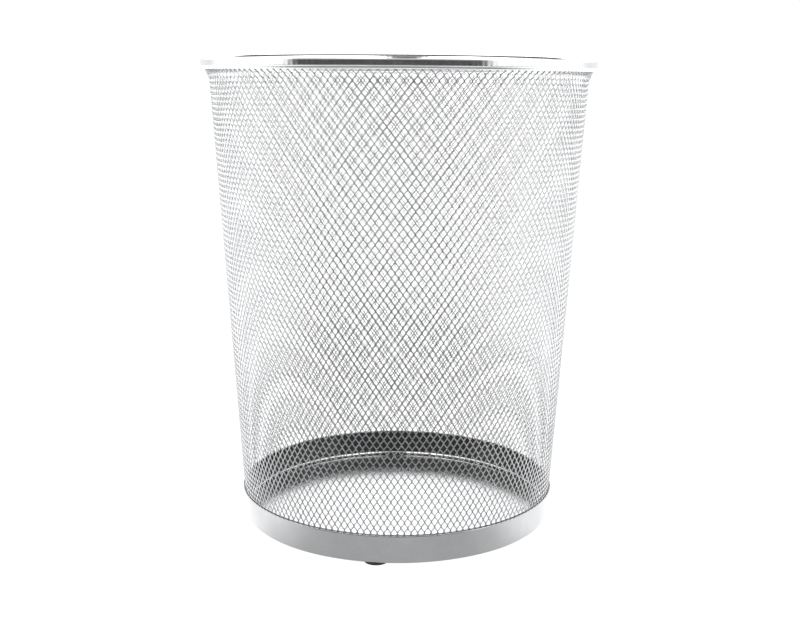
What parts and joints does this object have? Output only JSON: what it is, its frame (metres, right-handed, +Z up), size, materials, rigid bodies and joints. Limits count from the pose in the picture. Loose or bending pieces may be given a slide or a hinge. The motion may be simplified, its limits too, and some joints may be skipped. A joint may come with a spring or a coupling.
{
  "type": "wastebasket",
  "caption": "Round tapered wastebasket: open-topped wall of expanded-steel mesh, rolled steel rim, pressed steel base pan with an inner clamping ring, low rubber feet.",
  "frame": {"origin": "on the bin's axis, in the floor plane that the feet stand on", "axes": "+Z up along the bin's axis; -Y is the front as pictured, +X is to the right seen from the front"},
  "size_m": [0.2918, 0.2918, 0.3504],
  "materials": {
    "rim_metal": "glossy metallic silver coat",
    "mesh_metal": "metallic silver coat, semi-gloss",
    "base_metal": "satin metallic silver coat",
    "ring_metal": "dark grey semi-gloss coat",
    "foot_rubber": "matte black"
  },
  "bodies": {
    "root": {"rim_band": "rim_metal", "mesh_sleeve": "mesh_metal", "base_pan": "base_metal", "base_inner_ring": "ring_metal", "foot_pad_1": "foot_rubber", "foot_pad_2": "foot_rubber", "foot_pad_3": "foot_rubber", "foot_pad_4": "foot_rubber"}
  },
  "joints": []
}
